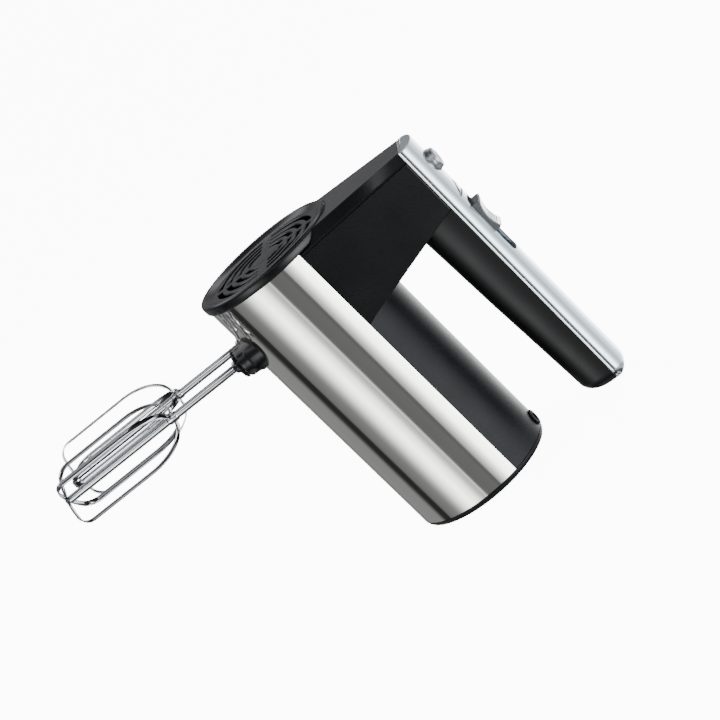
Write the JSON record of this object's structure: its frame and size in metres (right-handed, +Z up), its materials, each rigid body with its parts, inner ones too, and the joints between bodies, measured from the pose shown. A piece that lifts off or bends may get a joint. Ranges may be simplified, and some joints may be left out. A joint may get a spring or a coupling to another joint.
{
  "type": "hand mixer",
  "caption": "Electric hand mixer with a steel drum body, a slanted handle with a slide switch and an eject button, and wire beaters.",
  "frame": {"origin": "centre of the heel pad that the mixer stands on", "axes": "-X is the way the beaters point, +X the handle side, Y left to right, +Z up the body to the front grille; the body leans 4 degrees towards -X"},
  "size_m": [0.3087, 0.0942, 0.1909],
  "materials": {
    "black_plastic": "satin moulded black",
    "grip_plastic": "fine matt black",
    "bezel_plastic": "satin dark grey",
    "silver_paint": "satin silver paint",
    "brushed_steel": "polished along its length",
    "chrome": "mirror chrome",
    "rubber": "matt",
    "inner_plastic": "plain moulding",
    "laminated_iron": "bare laminations",
    "copper": "varnished copper",
    "bronze": "sintered",
    "carbon": "pressed carbon",
    "nylon": "natural nylon",
    "spring_steel": "bright",
    "circuit_board": "solder mask"
  },
  "bodies": {
    "housing": {"front_grille": "black_plastic", "steel_sleeve": "brushed_steel", "rear_shell": "black_plastic", "heel_cap": "black_plastic", "heel_pad": "rubber", "cord_gland": "rubber", "post_frame": "inner_plastic", "left_cheek": "black_plastic", "right_cheek": "black_plastic", "front_bezel": "bezel_plastic", "grip_shell": "grip_plastic", "handle_trim": "chrome", "handle_cover": "silver_paint", "marker_lens": "silver_paint", "slider_track": "bezel_plastic", "switch_block": "inner_plastic", "control_board": "circuit_board", "chassis": "inner_plastic", "motor_stator": "laminated_iron", "rear_field_coil": "copper", "front_field_coil": "copper", "rear_bearing": "bronze", "front_bearing": "bronze", "thrust_bearing": "bronze", "left_brush_holder": "bronze", "right_brush_holder": "bronze", "left_brush": "carbon", "right_brush": "carbon", "left_bush": "bronze", "right_bush": "bronze", "gearbox_plate": "inner_plastic", "left_plate_screw": "spring_steel", "right_plate_screw": "spring_steel"},
    "rotor": {"worm_shaft": "spring_steel", "armature_core": "laminated_iron", "armature_winding": "copper", "commutator": "copper", "cooling_fan": "nylon"},
    "left_drive": {"left_spindle": "spring_steel", "left_gear": "nylon", "left_collar": "black_plastic"},
    "right_drive": {"right_spindle": "spring_steel", "right_gear": "nylon", "right_collar": "black_plastic"},
    "left_beater": {"left_beater_shaft": "chrome", "left_lock_ring": "chrome", "left_beater_outer_loop": "chrome", "left_beater_inner_loop": "chrome"},
    "right_beater": {"right_beater_shaft": "chrome", "right_lock_ring": "chrome", "right_beater_outer_loop": "chrome", "right_beater_inner_loop": "chrome"},
    "ejector": {"eject_button": "chrome", "eject_rod": "nylon", "eject_yoke": "spring_steel", "eject_spring": "spring_steel"},
    "speed_switch": {"speed_slider": "bezel_plastic", "slider_carrier": "nylon"}
  },
  "joints": [
    {"name": "motor_spin", "type": "hinge", "parent": "housing", "child": "rotor", "pos_m": [-0.006, 0, 0.1517], "axis": [0, 0, 1], "continuous": true},
    {"name": "left_spindle_spin", "type": "hinge", "parent": "housing", "child": "left_drive", "pos_m": [-0.006, -0.0185, 0.1517], "axis": [1, 0, 0], "continuous": true},
    {"name": "right_spindle_spin", "type": "hinge", "parent": "housing", "child": "right_drive", "pos_m": [-0.006, 0.0185, 0.1517], "axis": [1, 0, 0], "continuous": true},
    {"name": "eject_press", "type": "slide", "parent": "housing", "child": "ejector", "axis": [-1, 0, 0], "range_m": [0, 0.005], "stiffness_N_per_m": 400, "springref_m": -0.001},
    {"name": "left_beater_release", "type": "slide", "parent": "left_drive", "child": "left_beater", "axis": [-1, 0, 0], "range_m": [0, 0.005]},
    {"name": "right_beater_release", "type": "slide", "parent": "right_drive", "child": "right_beater", "axis": [-1, 0, 0], "range_m": [0, 0.005]},
    {"name": "speed_slide", "type": "slide", "parent": "housing", "child": "speed_switch", "axis": [-0.0698, 0, 0.9976], "range_m": [-0.0135, 0.002]}
  ],
  "couplings": [
    {"joint": "left_spindle_spin", "follows": "motor_spin", "ratio": -0.041667},
    {"joint": "right_spindle_spin", "follows": "motor_spin", "ratio": 0.041667},
    {"joint": "left_beater_release", "follows": "eject_press", "ratio": 1},
    {"joint": "right_beater_release", "follows": "eject_press", "ratio": 1}
  ]
}
